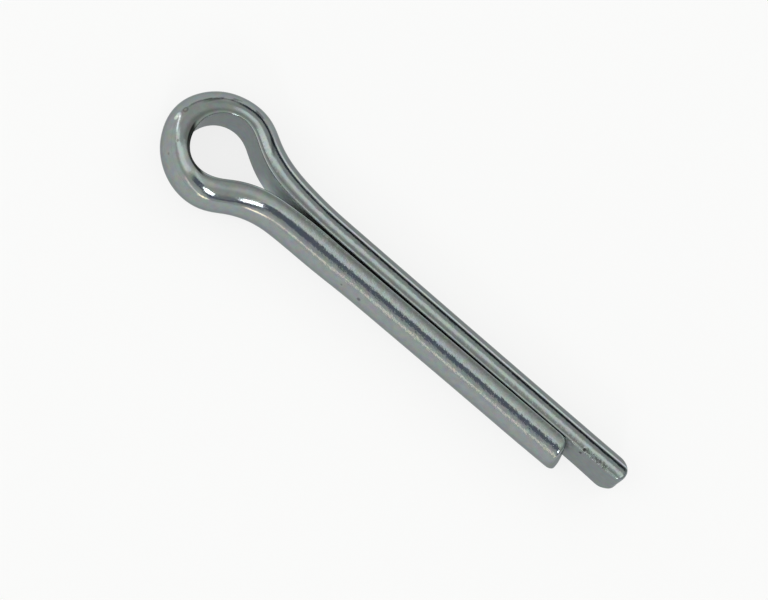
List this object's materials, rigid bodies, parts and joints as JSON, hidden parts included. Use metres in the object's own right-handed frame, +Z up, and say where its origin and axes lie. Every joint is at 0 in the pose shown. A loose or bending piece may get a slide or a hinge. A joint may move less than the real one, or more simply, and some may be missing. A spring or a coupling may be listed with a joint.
{
  "type": "cotter pin",
  "caption": "Split pin folded from half-round wire, with a round eye and unequal legs; goes through a cross hole to lock a nut or clevis pin.",
  "frame": {"origin": "on the shank's axis, between the two flats, where the straight run of the shank begins at the foot of the neck", "axes": "+X along the shank from the eye to the tips, +Y to the long leg's side, +Z up, square to the plane of the loop as the pin lies flat"},
  "size_m": [0.056, 0.0118, 0.0056],
  "materials": {
    "zinc_steel": "bright zinc plating over drawn half-round wire, a little mottled, with fine pits"
  },
  "bodies": {
    "root": {"pin": "zinc_steel"}
  },
  "joints": []
}
